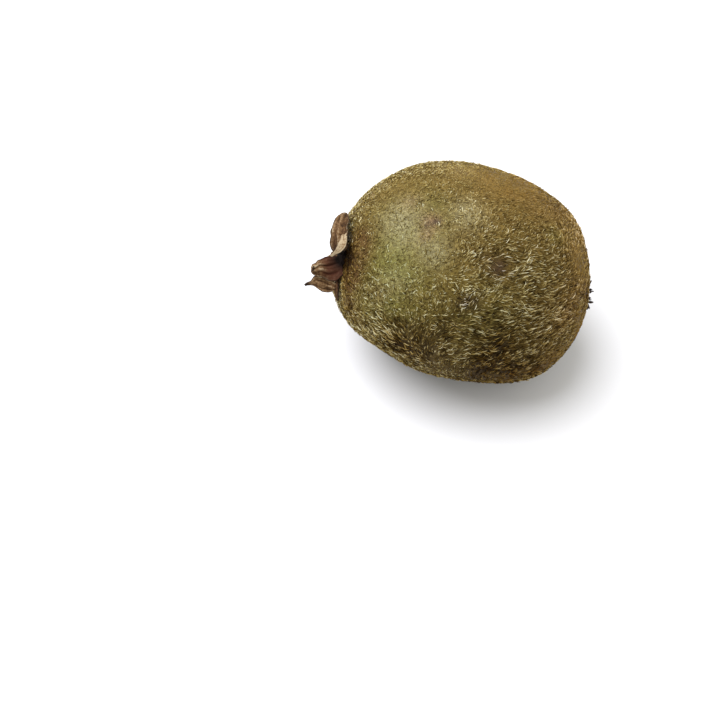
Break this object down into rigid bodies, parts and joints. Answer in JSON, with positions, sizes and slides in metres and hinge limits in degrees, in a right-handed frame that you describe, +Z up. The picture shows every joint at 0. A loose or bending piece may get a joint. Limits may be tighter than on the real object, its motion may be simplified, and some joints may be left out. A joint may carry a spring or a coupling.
{
  "type": "kiwi fruit",
  "caption": "Whole fuzzy-skinned oval kiwi fruit lying on its side, with a dried calyx at the stem end and dried styles at the blossom end.",
  "frame": {"origin": "on the surface that the fruit rests on, under the middle of its outer box", "axes": "+X from the stem end towards the blossom end, level; +Z up; +Y across the fruit"},
  "size_m": [0.07, 0.053, 0.0506],
  "materials": {
    "skin": "matte green-brown skin under a felt of short golden-brown hairs",
    "dried_sepal": "dry, creased and papery, tan to dark brown",
    "dried_style": "dry and nearly black"
  },
  "bodies": {
    "root": {"fruit": "skin", "calyx": "dried_sepal", "dried_styles": "dried_style"}
  },
  "joints": []
}
